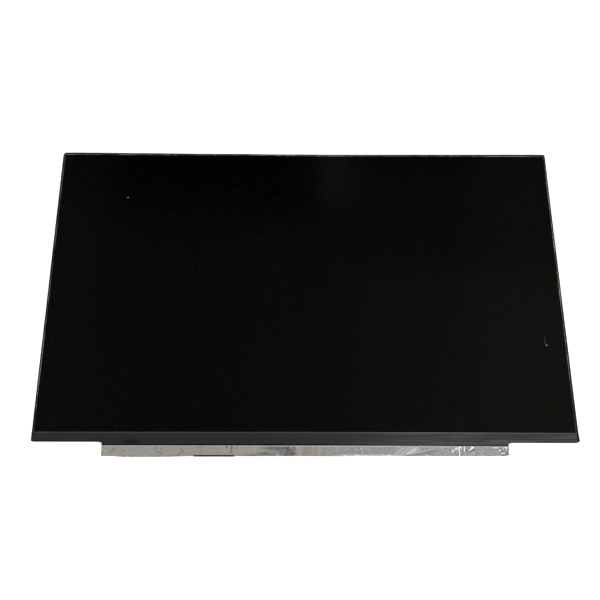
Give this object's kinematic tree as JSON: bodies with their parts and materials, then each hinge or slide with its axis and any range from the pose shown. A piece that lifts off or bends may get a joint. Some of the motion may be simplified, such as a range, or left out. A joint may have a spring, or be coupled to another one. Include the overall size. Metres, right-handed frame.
{
  "type": "laptop screen panel",
  "caption": "Flat laptop screen module with a matt black face, a narrow taped rim and a foil-covered circuit board along its lower edge, glued into a lid by its flat steel back.",
  "frame": {"origin": "middle of the overall outline, on the plane that the back plate lies on", "axes": "+X across the screen to the viewer's right, +Y up the screen, +Z out of the screen"},
  "size_m": [0.3506, 0.2162, 0.0026],
  "materials": {
    "screen_film": "anti-glare black",
    "cell_glass": "clear",
    "rear_film": "dark grey film",
    "black_tape": "matt",
    "grey_tape": "satin dark grey",
    "amber_flex": "glossy amber",
    "clear_film": "clear",
    "milky_film": "milky",
    "white_film": "white",
    "white_flex": "white solder mask",
    "led_case": "white resin",
    "black_plastic": "fine matt",
    "plate_steel": "zinc-coated sheet",
    "board_green": "solder mask",
    "foil": "creased foil",
    "contact_gold": "gold flash",
    "shell_steel": "tinned",
    "chip_case": "moulded black",
    "ferrite": "sintered grey",
    "ceramic_tan": "fired ceramic"
  },
  "bodies": {
    "root": {"front_polarizer": "screen_film", "colour_filter_glass": "cell_glass", "array_glass": "cell_glass", "rear_polarizer": "rear_film", "rim_tape": "black_tape", "driver_chips": "chip_case", "driver_flexes": "amber_flex", "upper_prism_sheet": "clear_film", "lower_prism_sheet": "clear_film", "diffuser_sheet": "milky_film", "light_guide": "clear_film", "reflector_sheet": "white_film", "light_bar_flex": "white_flex", "light_bar_leds": "led_case", "mould_frame": "black_plastic", "back_plate": "plate_steel", "left_edge_tape": "black_tape", "right_edge_tape": "black_tape", "top_edge_tape": "black_tape", "bottom_cover_tape": "grey_tape", "timing_board": "board_green", "board_foil": "foil", "signal_contacts": "contact_gold", "signal_insulator": "black_plastic", "signal_shell": "shell_steel", "timing_controller": "chip_case", "power_chip": "chip_case", "backlight_driver": "chip_case", "gamma_chip": "chip_case", "memory_chip": "chip_case", "power_inductors": "ferrite", "rectifier_diodes": "chip_case", "bulk_capacitors": "ceramic_tan", "small_capacitors": "ceramic_tan", "chip_resistors": "chip_case"}
  },
  "joints": []
}
